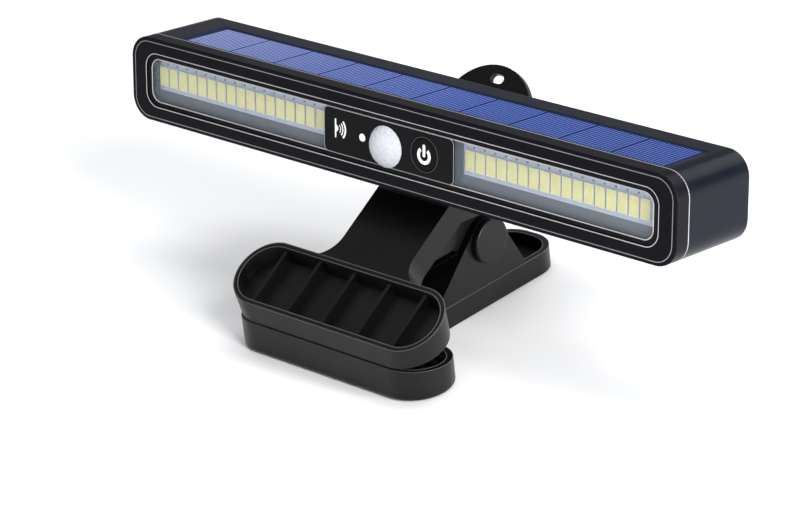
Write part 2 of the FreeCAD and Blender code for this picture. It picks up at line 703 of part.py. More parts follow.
def jaw_middle(depth=0.0):
    """The middle of the upper jaw's rim, or of a plane parallel to it at a depth below it."""
    rim = (val("tray_back"), val("tray_rise"))
    run = val("sole_back") - rim[0]
    fall = val("sole_rise") - rim[1]
    down = along(val("neck_slope"), 0, -1)
    share = depth / (run * down[0] + fall * down[1])
    return rim[0] + share * run, rim[1] + share * fall


def neck_origin():
    """The point of the neck's top plane below the middle of the jaw's rim."""
    return shifted(jaw_middle(), along(val("neck_slope"), 0, -val("neck_below")))


def neck_top(y):
    start = neck_origin()
    return start[1] + (y - start[0]) * math.tan(math.radians(val("neck_slope")))


def ear_middle():
    return val("ear_reach"), val("ear_rise")


def ear_top(y):
    middle = ear_middle()
    return middle[1] + (y - middle[0]) * math.tan(math.radians(val("ear_slope")))


def saddle():
    """The saddle's front point, its slope and its length."""
    front = (val("saddle_front"), neck_top(val("saddle_front")))
    rear = (val("saddle_rear"), ear_top(val("saddle_rear")))
    dy = rear[0] - front[0]
    dz = rear[1] - front[1]
    return front, math.degrees(math.atan2(dz, dy)), math.hypot(dy, dz)


def waisted_outline(sketch, half, fillet, start, wall, end, corner):
    """A lever's plan: round inner corners against the jaw's wall, straight sides, rounded far end."""
    wide = half + fillet
    lean = fillet * (1 - math.sqrt(0.5))
    cut_in = corner * (1 - math.sqrt(0.5))
    for side in (-1, 1):
        sketch.addGeometry(Part.LineSegment(Vector(side * wide, start, 0), Vector(side * wide, wall, 0)))
        sketch.addGeometry(Part.Arc(Vector(side * wide, wall, 0), Vector(side * (half + lean), wall + lean, 0),
                                    Vector(side * half, wall + fillet, 0)))
        sketch.addGeometry(Part.LineSegment(Vector(side * half, wall + fillet, 0),
                                            Vector(side * half, end - corner, 0)))
        if corner:
            sketch.addGeometry(Part.Arc(Vector(side * half, end - corner, 0),
                                        Vector(side * (half - cut_in), end - cut_in, 0),
                                        Vector(side * (half - corner), end, 0)))
    sketch.addGeometry(Part.LineSegment(Vector(-wide, start, 0), Vector(wide, start, 0)))
    sketch.addGeometry(Part.LineSegment(Vector(corner - half, end, 0), Vector(half - corner, end, 0)))


def lug_pair(body, inner_x, foot, radius):
    """Two webs that taper from a foot, given from its front to its rear, to a round boss on the pivot."""
    centre = pivot()
    outer_x = inner_x + val("lug_thick")
    above = 1 if foot[0][1] > centre[1] else -1
    front = tangent_point(foot[0], centre, radius, -above)
    rear = tangent_point(foot[-1], centre, radius, above)
    for start in (inner_x, -outer_x):
        web = side_sketch(body, start)
        polygon(web, [foot[0], front, centre, rear] + foot[:0:-1])
        pad(body, web, "lug_thick")
        boss = side_sketch(body, start)
        circles(boss, str(radius), [centre])
        pad(body, boss, "lug_thick")


def cross_hole(body, radius, centre):
    """A hole along X through everything at a point of the Y-Z plane."""
    hole = side_sketch(body, val("neck_half") + 10)
    circles(hole, radius, [centre])
    pocket(body, hole, "2 * neck_half + 20")


def make_lower_lever():
    """Lower jaw with gripping teeth, handle tray and the two outer pivot lugs, in one moulding."""
    body = new_body("lower_lever")
    front = val("base_front")
    width = val("jaw_width")
    wall = front + width
    middle = Placement(Vector(0, front + width / 2, 0), Rotation())
    outline = slope_sketch(body, middle)
    stadium(outline, "jaw_length", "jaw_width")
    block = pad(body, outline, "jaw_front_rise")
    names = edges_where(block, lambda point: abs(point.z) < 1e-3)
    dress(body, "Fillet", block, names, "Radius", "1.2")
    handle = slope_sketch(body, Placement())
    waisted_outline(handle, val("base_half"), val("neck_fillet"), wall - 1.6, wall, val("base_rear"),
                    val("base_corner"))
    pad(body, handle, "base_wall")
    fall = (val("jaw_front_rise") - val("jaw_rear_rise")) / width
    rise = side_sketch(body, val("jaw_length"))
    polygon(rise, [(front - 1, val("jaw_front_rise") + fall), (wall + 0.01, val("jaw_rear_rise")),
                   (wall + 0.01, val("jaw_front_rise") + 2), (front - 1, val("jaw_front_rise") + 2)])
    pocket(body, rise, "2 * jaw_length")
    top = Placement(Vector(0, front + width / 2, val("jaw_front_rise")), Rotation())
    recess = slope_sketch(body, top)
    stadium(recess, "jaw_length - 2 * jaw_rim", "jaw_width - 2 * jaw_rim")
    pocket(body, recess, "jaw_front_rise - base_floor")
    inner = width / 2 - val("jaw_rim")
    straight = (val("jaw_length") - width) / 2
    for number in range(4):
        offset = (number - 1.5) * val("tooth_pitch")
        reach = straight + math.sqrt(inner ** 2 - (abs(offset) + 0.7) ** 2) + 0.3
        root = Vector(0, front + width / 2 + offset, val("base_floor") - 0.2)
        tooth = slope_sketch(body, Placement(root, Rotation()))
        rounded_rectangle(tooth, str(2 * reach), "tooth_thick", "0.2")
        height = val("jaw_front_rise") - fall * (width / 2 + offset) - 0.7 - val("base_floor") + 0.2
        pad(body, tooth, str(height))
    hollow_front = wall + 1.5
    hollow_rear = val("base_rear") - val("flange_thick")
    floor = Placement(Vector(0, (hollow_front + hollow_rear) / 2, val("base_wall")), Rotation())
    hollow = slope_sketch(body, floor)
    rounded_rectangle(hollow, "2 * (base_half - flange_thick)", str(hollow_rear - hollow_front),
                      "base_corner - flange_thick")
    pocket(body, hollow, "base_wall - base_floor")
    foot = val("base_floor")
    near = val("lug_front")
    far = val("pivot_back + lug_run")
    sunk = foot - 0.4
    lug_pair(body, val("outer_lug"), [(near, foot), (near, sunk), (far, sunk), (far, foot)], val("cap_radius") + 0.2)
    cross_hole(body, "pivot_radius", pivot())
    finished(body, "lower_lever")


def make_upper_lever():
    """Upper jaw tray, neck, saddle with the tilt lugs, inner pivot lugs and the ear, in one moulding."""
    body = new_body("upper_lever")
    slope = val("neck_slope")
    wall = val("tray_width") / 2
    half = val("neck_half")
    rim = slope_sketch(body, sloped_frame(jaw_middle(), slope))
    stadium(rim, "tray_length", "tray_width")
    sole = slope_sketch(body, sloped_frame((val("sole_back"), val("sole_rise")), val("sole_slope")))
    stadium(sole, "jaw_length", "jaw_width")
    loft(body, "AdditiveLoft", rim, sole)
    neck = sloped_frame(neck_origin(), slope)
    neck_length = (val("saddle_front") - neck_origin()[0]) / math.cos(math.radians(slope))
    plan = slope_sketch(body, neck)
    waisted_outline(plan, half, val("neck_fillet"), wall - 1.0, wall, neck_length, 0.0)
    pad(body, plan, "neck_deep", reverse=True)
    saddle_point, saddle_slope, saddle_length = saddle()
    saddle_middle = shifted(saddle_point, along(saddle_slope, saddle_length / 2))
    seat = slope_sketch(body, sloped_frame(saddle_middle, saddle_slope))
    rounded_rectangle(seat, "2 * neck_half", str(saddle_length + 0.4), "0.1")
    pad(body, seat, "flange_deep", reverse=True)
    hollow_start = wall + val("neck_fillet") + 0.5
    hollow_middle = shifted(neck_origin(), along(slope, (hollow_start + neck_length) / 2, -val("plate_thick")))
    under = slope_sketch(body, sloped_frame(hollow_middle, slope))
    rounded_rectangle(under, "2 * (neck_half - flange_thick)", str(neck_length - hollow_start + 0.8), "0.8")
    pocket(body, under, "flange_deep + 6")
    hollow_middle = shifted(saddle_middle, along(saddle_slope, 1.2, -val("plate_thick")))
    under = slope_sketch(body, sloped_frame(hollow_middle, saddle_slope))
    rounded_rectangle(under, "2 * (neck_half - flange_thick)", str(saddle_length + 4), "0.1")
    pocket(body, under, "flange_deep + 6")
    make_ear(body, half)
    near = val("web_front")
    low = val("web_under")
    bend = val("saddle_front") + 0.5
    inside = 2.2
    web = [(val("web_bend"), low), (near, low), (near, neck_top(near) - inside), (bend, neck_top(bend) - inside),
           (val("saddle_rear") + 1.0, 34.0), (val("saddle_rear") + 1.5, 33.2)]
    lug_pair(body, val("inner_lug"), web, val("cap_radius") - 0.5)
    centre = tilt_axis()
    radius = val("post_radius")
    foot = centre[1] - radius + 0.4
    for start in (val("post_start"), -half):
        post = side_sketch(body, start)
        polygon(post, [(centre[0] - radius, centre[1]), (centre[0] - radius, foot),
                       (centre[0] + radius, foot), (centre[0] + radius, centre[1])])
        pad(body, post, "neck_half - post_start")
        eye = side_sketch(body, start)
        circles(eye, "post_radius", [centre])
        pad(body, eye, "neck_half - post_start")
    slot = slope_sketch(body, Placement(Vector(0, *centre), Rotation()))
    rounded_rectangle(slot, "2 * post_start", "2 * post_radius + 2.2", "0.4")
    pocket(body, slot, "6")
    cross_hole(body, "bolt_radius", centre)
    cross_hole(body, "pivot_radius + running", pivot())
    make_jaw_tray(body, slope)
    finished(body, "upper_lever")


def make_ear(body, half):
    """The raised ear behind the lamp: tapered sides, half-round end, hanging hole, side gussets."""
    slope = val("ear_slope")
    radius = val("ear_radius")
    foot = (val("saddle_rear") - ear_middle()[0]) / math.cos(math.radians(slope)) - 0.6
    neck_off = -math.sqrt(radius ** 2 - half ** 2)
    plan = slope_sketch(body, sloped_frame(ear_middle(), slope))
    for side in (-1, 1):
        plan.addGeometry(Part.LineSegment(Vector(side * half, foot, 0), Vector(side * half, neck_off, 0)))
    plan.addGeometry(Part.LineSegment(Vector(-half, foot, 0), Vector(half, foot, 0)))
    plan.addGeometry(Part.Arc(Vector(half, neck_off, 0), Vector(0, radius, 0), Vector(-half, neck_off, 0)))
    pad(body, plan, "ear_thick", reverse=True)
    hole = slope_sketch(body, sloped_frame(shifted(ear_middle(), along(slope, val("hang_offset"))), slope))
    stadium(hole, "hang_length", "hang_width")
    pocket(body, hole, "ear_thick + 1")
    saddle_point, saddle_slope, saddle_length = saddle()
    for start in (half - val("flange_thick"), -half):
        gusset = side_sketch(body, start)
        polygon(gusset, [shifted(saddle_point, along(saddle_slope, saddle_length - 2, -0.6)),
                         shifted(ear_middle(), along(slope, foot + 0.8, -0.6)),
                         shifted(ear_middle(), along(slope, -3.0, -val("ear_thick") + 0.2)),
                         shifted(saddle_point, along(saddle_slope, saddle_length + 3.5, -val("flange_deep") + 0.6)),
                         shifted(saddle_point, along(saddle_slope, saddle_length - 2, -val("flange_deep")))])
        pad(body, gusset, "flange_thick")


def loft(body, kind, first, last):
    """A solid, or a hollow, drawn straight from one outline to another."""
    feature = body.newObject("PartDesign::" + kind, body.Name + "_loft")
    feature.Profile = first
    feature.Sections = [last]
    feature.Ruled = True
    doc.recompute()
    return feature


def make_jaw_tray(body, slope):
    """The upper jaw's ribbed tray, the hollow under its thick rear and two low gripping ridges."""
    deep = val("tray_deep")
    above = slope_sketch(body, sloped_frame(jaw_middle(-1.0), slope))
    stadium(above, "tray_length - 2 * tray_rim + 0.1", "tray_width - 2 * tray_rim + 0.1")
    floor = slope_sketch(body, sloped_frame(jaw_middle(deep), slope))
    stadium(floor, "tray_length - 2 * tray_rim - 0.9", "tray_width - 2 * tray_rim - 0.6")
    loft(body, "SubtractiveLoft", above, floor)
    half = val("tray_width / 2 - tray_rim") + 0.3
    high = jaw_middle(0.8)
    low = jaw_middle(deep + 0.2)
    for number in range(int(val("rib_count"))):
        offset = (number - (val("rib_count") - 1) / 2) * val("rib_pitch")
        rib = side_sketch(body, offset - val("rib_thick") / 2)
        polygon(rib, [shifted(high, along(slope, -half)), shifted(high, along(slope, half)),
                      shifted(low, along(slope, half)), shifted(low, along(slope, -half))])
        pad(body, rib, "rib_thick")
    front = jaw_middle(deep + val("tray_floor"))
    reach = val("jaw_length - jaw_width") / 2
    hollow = side_sketch(body, reach)
    polygon(hollow, [shifted(front, along(slope, 3.0)), shifted(front, along(slope, 8.4)),
                     (-15.6, val("sole_rise") - 3), (-21.0, val("sole_rise") - 3)])
    pocket(body, hollow, str(2 * reach))
    sole = (val("sole_back"), val("sole_rise"))
    for run in (-6.5, -2.6):
        base = shifted(sole, along(val("sole_slope"), run, 0.3))
        ridge = slope_sketch(body, sloped_frame(base, val("sole_slope")))
        rounded_rectangle(ridge, "jaw_length - jaw_width", "tooth_thick", "0.2")
        pad(body, ridge, "0.9", reverse=True)


def rounded_disc(name, radius, thick, start, direction, edge):
    """A disc with a rounded outer rim on its far face."""
    disc = rod(name + "_blank", radius, thick, start, direction)
    doc.recompute()
    far = disc.Placement.multVec(Vector(0, 0, val(thick)))
    rims = [(number, edge, edge) for number, ring in enumerate(disc.Shape.Edges, start=1)
            if len(ring.Vertexes) == 1 and (ring.Curve.Center - far).Length < 1e-3]
    rounded = doc.addObject("Part::Fillet", name)
    rounded.Base = disc
    rounded.Edges = rims
    return rounded


def make_pivot():
    """Pivot pin through both pairs of lugs, with a round cap on each end."""
    back, rise = pivot()
    reach = val("pivot_reach")
    finished(group("pivot_pin", [rod("pin", "pivot_radius", 2 * reach, (-reach, back, rise), X_AXIS)]), "pivot_pin")
    caps = [rounded_disc("cap_right", "cap_radius", "cap_thick", (reach, back, rise), X_AXIS, 0.6),
            rounded_disc("cap_left", "cap_radius", "cap_thick", (-reach, back, rise), -X_AXIS, 0.6)]
    finished(group("pivot_caps", caps), "pivot_caps")


def make_tilt_bolt():
    """Bolt through the saddle's lugs and the lamp's knuckle, with its nut."""
    back, rise = tilt_axis()
    half = val("neck_half")
    shank = rod("bolt_shank", "bolt_radius", "2 * neck_half + 3", (-half - 3, back, rise), X_AXIS)
    head = rounded_disc("bolt_head", "2.8", "1.8", (half, back, rise), X_AXIS, 0.6)
    slot = box("bolt_slot", ("1", "3.6", "0.8"), (half + 1.1, back - 1.8, rise - 0.4))
    whole = fuse("bolt_whole", [shank, head])
    finished(cut("tilt_bolt", whole, slot), "tilt_bolt")
    hexagon = doc.addObject("Part::Prism", "nut_blank")
    hexagon.Polygon = 6
    bind(hexagon, "Circumradius", "3.2")
    bind(hexagon, "Height", "2.4")
    hexagon.Placement = Placement(Vector(-half, back, rise), Rotation(Z_AXIS, -X_AXIS))
    bore = rod("nut_bore", "bolt_radius", "4", (-half - 3.5, back, rise), X_AXIS)
    finished(cut("tilt_nut", hexagon, bore), "tilt_nut")


def make_torsion_spring():
    """Coil about the pivot pin whose two legs push the handle and the ear apart."""
    centre = pivot()
    radius = val("coil_radius")
    wire = val("wire_radius")
    pitch = val("coil_pitch")
    upper_rest = shifted(ear_middle(), along(val("ear_slope"), -13.5, -val("ear_thick") - wire - 0.15))
    lower_rest = (39.0, val("base_floor") + wire + 0.1)
    bearings = []
    for rest, side in ((upper_rest, 1), (lower_rest, -1)):
        dy = rest[0] - centre[0]
        dz = rest[1] - centre[1]
        bearings.append(math.atan2(dz, dy) + side * math.asin(radius / math.hypot(dy, dz)))
    end_angle = bearings[0] - math.pi / 2
    start_angle = bearings[1] + math.pi / 2
    turns = int(val("coil_turns")) - 1 + ((end_angle - start_angle) % (2 * math.pi)) / (2 * math.pi)
    length = turns * pitch
    helix = Part.makeHelix(pitch, length, radius)
    ring = Part.Wire([Part.Circle(Vector(radius, 0, 0), Vector(0, radius, pitch / (2 * math.pi)), wire).toShape()])
    coil = Part.Wire(helix.Edges).makePipeShell([ring], True, True)
    upright = Rotation(Y_AXIS, Z_AXIS, X_AXIS, "ZXY")
    coil.Placement = Placement(Vector(-length / 2, *centre), upright)
    coil.rotate(Vector(0, *centre), X_AXIS, math.degrees(start_angle))
    solids = [coil]
    for rest, angle, x in ((upper_rest, end_angle, length / 2), (lower_rest, start_angle, -length / 2)):
        start = Vector(x, centre[0] + radius * math.cos(angle), centre[1] + radius * math.sin(angle))
        end = Vector(x, *rest)
        heading = (end - start).normalize()
        solids.append(Part.makeSphere(wire + 0.03, start))
        solids.append(Part.makeCylinder(wire, (end - start).Length, start, heading))
    spring = doc.addObject("Part::Feature", "torsion_spring")
    spring.Shape = solids[0].multiFuse(solids[1:])
    finished(spring, "torsion_spring")


# ---------------------------------------------------------------- everything

def check_and_write():
    """Stops on any failed object or bad shape, then writes one STEP file for each sub-part."""
    doc.recompute()
    for obj in doc.Objects:
        if "Invalid" in obj.State or "Error" in obj.State:
            raise RuntimeError(f"{obj.Name} failed: {obj.State}")
    for obj in sub_parts:
        if obj.Shape.isNull() or not obj.Shape.isValid():
            raise RuntimeError(f"{obj.Label} has no valid shape")
    os.makedirs("parts", exist_ok=True)
    for obj in sub_parts:
        obj.Shape.exportStep(f"parts/{obj.Label}.step")
        print(f"{obj.Label}: {len(obj.Shape.Solids)} solid(s), {obj.Shape.Volume:.1f} mm3")


def main():
    make_housing()
    make_front_bezel()
    make_lens_seal()
    make_window_lens()
    make_centre_panel()
    make_pir_dome()
    make_pir_sensor()
    make_indicator()
    make_power_button()
    make_tact_switch()
    make_led_side("left", -1)
    make_led_side("right", 1)
    make_main_board()
    make_battery()
    make_wires()
    make_solar_panel()
    make_case_screws()
    make_lower_lever()
    make_upper_lever()
    make_pivot()
    make_tilt_bolt()
    make_torsion_spring()
    check_and_write()


main()
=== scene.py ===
"""Looks of the clip-on solar light bar: camera, studio, materials and the fine detail pieces.

Everything on the lamp is placed in the lamp's own frame: millimetres, X along the bar, Y into
the body from the middle of the front face, Z up the face.  LAMP turns that into the part's frame.
"""
import json
import math
import bpy
import bmesh
from mathutils import Matrix, Vector


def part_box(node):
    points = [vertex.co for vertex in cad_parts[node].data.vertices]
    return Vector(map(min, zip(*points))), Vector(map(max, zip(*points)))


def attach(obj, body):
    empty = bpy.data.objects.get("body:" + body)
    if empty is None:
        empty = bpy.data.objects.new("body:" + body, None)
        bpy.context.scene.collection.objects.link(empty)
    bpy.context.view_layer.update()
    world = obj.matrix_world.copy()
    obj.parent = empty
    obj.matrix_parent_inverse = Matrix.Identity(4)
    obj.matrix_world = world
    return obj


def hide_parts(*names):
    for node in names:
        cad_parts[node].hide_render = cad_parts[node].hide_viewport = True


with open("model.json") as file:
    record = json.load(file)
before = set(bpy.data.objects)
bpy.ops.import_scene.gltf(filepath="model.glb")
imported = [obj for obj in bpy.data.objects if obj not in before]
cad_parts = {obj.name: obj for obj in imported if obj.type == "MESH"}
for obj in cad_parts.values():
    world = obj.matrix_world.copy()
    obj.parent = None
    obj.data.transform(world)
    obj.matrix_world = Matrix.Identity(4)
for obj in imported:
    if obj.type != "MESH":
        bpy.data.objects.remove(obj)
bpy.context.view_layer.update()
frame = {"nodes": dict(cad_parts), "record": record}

nodes = frame["nodes"]
record = frame["record"]


# ---------------------------------------------------------------- sizes

MM = 0.001

# The front of the bar.  A rounded rectangle is (length, height, corner radius).
BAR_LENGTH, BAR_HEIGHT, BAR_CORNER = 200.0, 24.6, 6.7
SEAM_DEPTH, SEAM_TRIM = 4.8, 0.1
FACE_LINE = (197.1, 22.3, 5.5)
GROOVE = (188.2, 15.9, 4.4)
WINDOW, WINDOW_DEPTH = (184.2, 12.7, 3.2), 0.5
PANEL, PANEL_X = (47.6, 12.7, 1.6), 0.8
PANEL_FRONT, PANEL_MID_DEPTH = 0.3, 0.55

# The dome: its rings of corners are (part of the way from the tip to the rim, count), and its
# lip is two more rings, (radius less than the dome's, depth behind the panel's front).
DOME_RADIUS, DOME_RISE, DOME_DROP = 5.85, 3.4, 0.74
DOME_RINGS = ((0.20, 6), (0.46, 12), (0.73, 18), (1.0, 24))
DOME_LIPS = ((0.7, 0.0), (1.0, 2.2))
FACET_INSET, FACET_DEPTH = 0.16, 0.10

# The button, its ring, and the printed signs.
BUTTON_X, BUTTON_FRONT, BUTTON_RADIUS = 14.1, 0.2, 4.6
RING_GAP, RING_SIDES = 0.22, 64
SIGN_HALF_DEPTH = 0.03
POWER_DROP, POWER_RADIUS, POWER_HALF_WIDTH, POWER_GAP = 0.25, 1.95, 0.5, 38
POWER_BAR, POWER_BAR_RAISE = (0.95, 3.5, 0.45), 1.35
WAVE_X, WAVE_Z = -18.7, 0.7
WAVE_BAR, WAVE_SOURCE, WAVE_SPREAD = (0.5, 5.4, 0.2), 0.4, 44
WAVE_BANDS = ((1.5, 0.14), (2.35, 0.18), (3.3, 0.3))
WAVE_HORN = ((0.3, -1.1), (1.0, -0.35), (1.0, 0.35), (0.3, 1.1))

# The LEDs: a row is (its inner end, its signed pitch).  The details of one LED are a rounded
# rectangle and its (front, back) depths behind the LED face.
LED_FACE, LED_WIDTH, LED_HEIGHT, LED_RAISE, LED_COUNT = 3.3, 3.1, 5.7, 0.5, 17
LED_ROWS = {"left": (-26.0, -3.92), "right": (26.0, 3.72)}
PACKAGE, PACKAGE_DEPTHS, PACKAGE_EDGE = (LED_WIDTH, LED_HEIGHT, 0.18), (0.04, 0.88), 0.04
GEL, GEL_DEPTHS = (LED_WIDTH - 0.34, LED_HEIGHT - 0.5, 0.45), (0.02, 0.2)
GEL_SHOULDER, GEL_RISE = 0.35, 0.03
PAD, PAD_DEPTHS, PAD_SHIFT, PAD_ABOVE = (0.7, 0.5, 0.12), (0.85, 0.95), 0.9, 0.75
GAP_BAR, GAP_DEPTHS = (0.3, LED_HEIGHT - 0.5, 0.08), (0.35, 0.95)
GAP_SHIFT, GAP_DROP = LED_WIDTH / 2 + 0.33, 0.1

# The solar cells in the roof, and the fingers printed on them.
ROOF, CELL_SINK, WAFER_FRONT, WAFER_REAR = 12.3, 0.4, 6.5, 22.3
CELL_COUNT, CELL_PITCH, CELL_SHIFT = 10, 17.4, 3.3
FINGER_COUNT, FINGER_PITCH, FINGER_WIDTH = 15, 1.12, 0.4
FINGER_BOTTOM, FINGER_TOP = 0.001, 0.03

# The clamp's rims: (y, z, slope in degrees) of the middle in the part's frame, and the size.
# A line lies inside the rim's outline by half its trim.
TRAY_RIM, TRAY_SIZE = (-24.465, 20.287, 30.0), (74.0, 20.85)
JAW_RIM, JAW_SIZE = (-23.05, 8.1, -4.97), (71.5, 20.7)
HANDLE_INNER, HANDLE_INNER_SIZE = (20.75, 6.3, 0.0), (19.0, 63.9, 7.7)
HANDLE_OUTER, HANDLE_OUTER_SIZE = (21.25, 6.3, 0.0), (22.4, 66.3, 9.4)
OUTER_TRIM, TRAY_INNER_TRIM, JAW_INNER_TRIM = 0.3, 2.8, 3.6
TRAY_OUTER_CORNER, TRAY_INNER_CORNER = 10.25, 9.0
JAW_OUTER_CORNER, JAW_INNER_CORNER = 10.15, 8.5

# The pale lines, painted highlights along edges: how far their middles lie behind the surface
# they edge, and each bead as (half its width, half its height).
LINE_SINK, GROOVE_SINK = 0.02, 0.03
SEAM_BEAD, FACE_BEAD = (0.22, 0.09), (0.13, 0.07)
GROOVE_BEAD, WINDOW_BEAD = (0.13, 0.08), (0.15, 0.13)
PANEL_BEAD, RING_BEAD, RIM_BEAD = (0.11, 0.05), (0.12, 0.06), (0.15, 0.09)

# How deep a small chamfer goes for its width.
EDGE_SLOPE = 0.6


# ---------------------------------------------------------------- the lamp's own frame

def axes_matrix(x_axis, y_axis, z_axis, origin):
    """A frame from its three axes and its origin."""
    return Matrix((*zip(x_axis, y_axis, z_axis, origin), (0, 0, 0, 1)))


def lamp_matrix():
    """The lamp's frame, from the button's axis and the control panel's place."""
    axis = next(joint["axis"] for joint in record["behaviour"]["joints"]
                if joint["name"] == "button_press")
    inward = Vector(axis).normalized()
    up = Vector((1, 0, 0)).cross(inward)
    low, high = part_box("centre_panel")
    panel_middle = Vector((PANEL_X * MM, 0, 0)) + inward * PANEL_MID_DEPTH * MM
    origin = (Vector(low) + Vector(high)) / 2 - panel_middle
    return axes_matrix((1, 0, 0), inward, up, origin)


LAMP = lamp_matrix()


# ---------------------------------------------------------------- camera

# Where the camera stands: angles to the front face, and millimetres from the face's middle.
VIEW_YAW, VIEW_PITCH = math.radians(43.11), math.radians(19.10)
CAMERA_BACK, CAMERA_RIGHT, CAMERA_DOWN = 884.7, 4.07, 29.03
LENS, SENSOR_WIDTH = 148.27, 36
CLIP_NEAR, CLIP_FAR = 0.01, 20


def link_object(name, data):
    """A new object in the scene."""
    made = bpy.data.objects.new(name, data)
    bpy.context.collection.objects.link(made)
    return made


def make_camera():
    """The camera, set by its yaw and pitch to the lamp's front face."""
    right = Vector((math.cos(VIEW_YAW), math.sin(VIEW_YAW), 0))
    back = Vector((math.sin(VIEW_YAW) * math.cos(VIEW_PITCH),
                   -math.cos(VIEW_YAW) * math.cos(VIEW_PITCH),
                   math.sin(VIEW_PITCH)))
    up = back.cross(right)
    place = (right * CAMERA_RIGHT - up * CAMERA_DOWN + back * CAMERA_BACK) * MM
    data = bpy.data.cameras.new("camera")
    data.lens = LENS
    data.sensor_width = SENSOR_WIDTH
    data.clip_start = CLIP_NEAR
    data.clip_end = CLIP_FAR
    camera = link_object("camera", data)
    camera.matrix_world = LAMP @ axes_matrix(right, up, back, place)
    bpy.context.scene.camera = camera


make_camera()


# ---------------------------------------------------------------- material helpers

# Noise scales, as features to the metre.
DRIFT_SCALE, RIPPLE_SCALE, SMUDGE_SCALE = 55.0, 70.0, 140.0
SPECK_SCALE, STREAK_SCALE = 300.0, 900.0

# Where the painted sheen along the bar starts and ends, in metres, and how much grain is added to
# it.
SHEEN_START, SHEEN_END, SHEEN_GRAIN = -0.085, 0.087, 0.06
COAT_ROUGHNESS, GLOW_SPECULAR, CELL_SPECULAR = 0.2, 0.4, 0.05


def new_material(name):
    """A node material, with its tree and its shader."""
    material = bpy.data.materials.new(name)
    material.use_nodes = True
    tree = material.node_tree
    return material, tree, tree.nodes["Principled BSDF"]


def put(target, values):
    """Sets a shader node's inputs, by name or number."""
    for key, value in values.items():
        target.inputs[key].default_value = value


def node(tree, kind, values=None):
    """A new shader node, with some of its inputs set."""
    made = tree.nodes.new(kind)
    put(made, values or {})
    return made


def noise(tree, scale, detail=2.0, roughness=0.5, stretch=None):
    """Noise over the object's own coordinates, as a 0 to 1 value."""
    place = node(tree, "ShaderNodeTexCoord").outputs["Object"]
    if stretch:
        mapping = node(tree, "ShaderNodeMapping", {"Scale": stretch})
        tree.links.new(place, mapping.inputs["Vector"])
        place = mapping.outputs["Vector"]
    made = node(tree, "ShaderNodeTexNoise",
                {"Scale": scale, "Detail": detail, "Roughness": roughness})
    tree.links.new(place, made.inputs["Vector"])
    return made.outputs["Fac"]


def paint(tree, shader, source, stops):
    """Colours the surface by a value: stops are (position, colour)."""
    made = node(tree, "ShaderNodeValToRGB")
    elements = made.color_ramp.elements
    while len(elements) < len(stops):
        elements.new(0.5)
    for element, (position, color) in zip(elements, stops):
        element.position = position
        element.color = (*color, 1)
    tree.links.new(source, made.inputs["Fac"])
    tree.links.new(made.outputs["Color"], shader.inputs["Base Color"])


def uneven_gloss(tree, shader, source, low, high):
    """Spreads the roughness over a range by a 0 to 1 value."""
    made = node(tree, "ShaderNodeMapRange", {"To Min": low, "To Max": high})
    tree.links.new(source, made.inputs["Value"])
    tree.links.new(made.outputs["Result"], shader.inputs["Roughness"])


def bump(tree, shader, source, depth, strength):
    """Raises the surface by a value; the depth is in metres."""
    made = node(tree, "ShaderNodeBump", {"Distance": depth, "Strength": strength})
    tree.links.new(source, made.inputs["Height"])
    tree.links.new(made.outputs["Normal"], shader.inputs["Normal"])


def moulded(name, dark, light, roughness, grain=2600.0, depth=0.00002, specular=0.4, coat=0.0):
    """Moulded plastic: soft colour drift, uneven gloss and a fine spark-eroded grain."""
    material, tree, shader = new_material(name)
    paint(tree, shader, noise(tree, DRIFT_SCALE, 3.0), [(0.32, dark), (0.7, light)])
    smudge = noise(tree, SMUDGE_SCALE, 4.0, 0.6)
    uneven_gloss(tree, shader, smudge, roughness - 0.06, roughness + 0.08)
    bump(tree, shader, noise(tree, grain), depth, 0.6)
    put(shader, {"Specular IOR Level": specular, "Coat Weight": coat,
                 "Coat Roughness": COAT_ROUGHNESS})
    return material


def metal(name, dark, light, roughness, stretch=(1, 1, 1)):
    """Plated or drawn metal with fine streaks."""
    material, tree, shader = new_material(name)
    streaks = noise(tree, STREAK_SCALE, 4.0, stretch=stretch)
    paint(tree, shader, streaks, [(0.3, dark), (0.7, light)])
    uneven_gloss(tree, shader, streaks, roughness - 0.06, roughness + 0.1)
    bump(tree, shader, streaks, 0.000008, 0.5)
    put(shader, {"Metallic": 1.0})
    return material


def clear(name, tint, alpha, roughness=0.05, waves=0.00003, specular=0.5):
    """Clear cover: mostly see-through, with its gloss and faint waviness."""
    material, tree, shader = new_material(name)
    drift = noise(tree, RIPPLE_SCALE)
    paler = tuple(min(1.0, part * 1.1) for part in tint)
    paint(tree, shader, drift, [(0.3, tint), (0.75, paler)])
    bump(tree, shader, drift, waves, 0.25)
    put(shader, {"Alpha": alpha, "Roughness": roughness, "Specular IOR Level": specular})
    return material


def glowing(name, dark, light, roughness, glow, strength, scale=SPECK_SCALE):
    """A pale surface that also sends out a little light of its own: a painted glow, as none of the
    parts that wear it is switched on.
    """
    material, tree, shader = new_material(name)
    drift = noise(tree, scale, 3.0)
    paint(tree, shader, drift, [(0.3, dark), (0.7, light)])
    bump(tree, shader, drift, 0.00001, 0.3)
    put(shader, {"Roughness": roughness, "Specular IOR Level": GLOW_SPECULAR,
                 "Emission Color": (*glow, 1), "Emission Strength": strength})
    return material


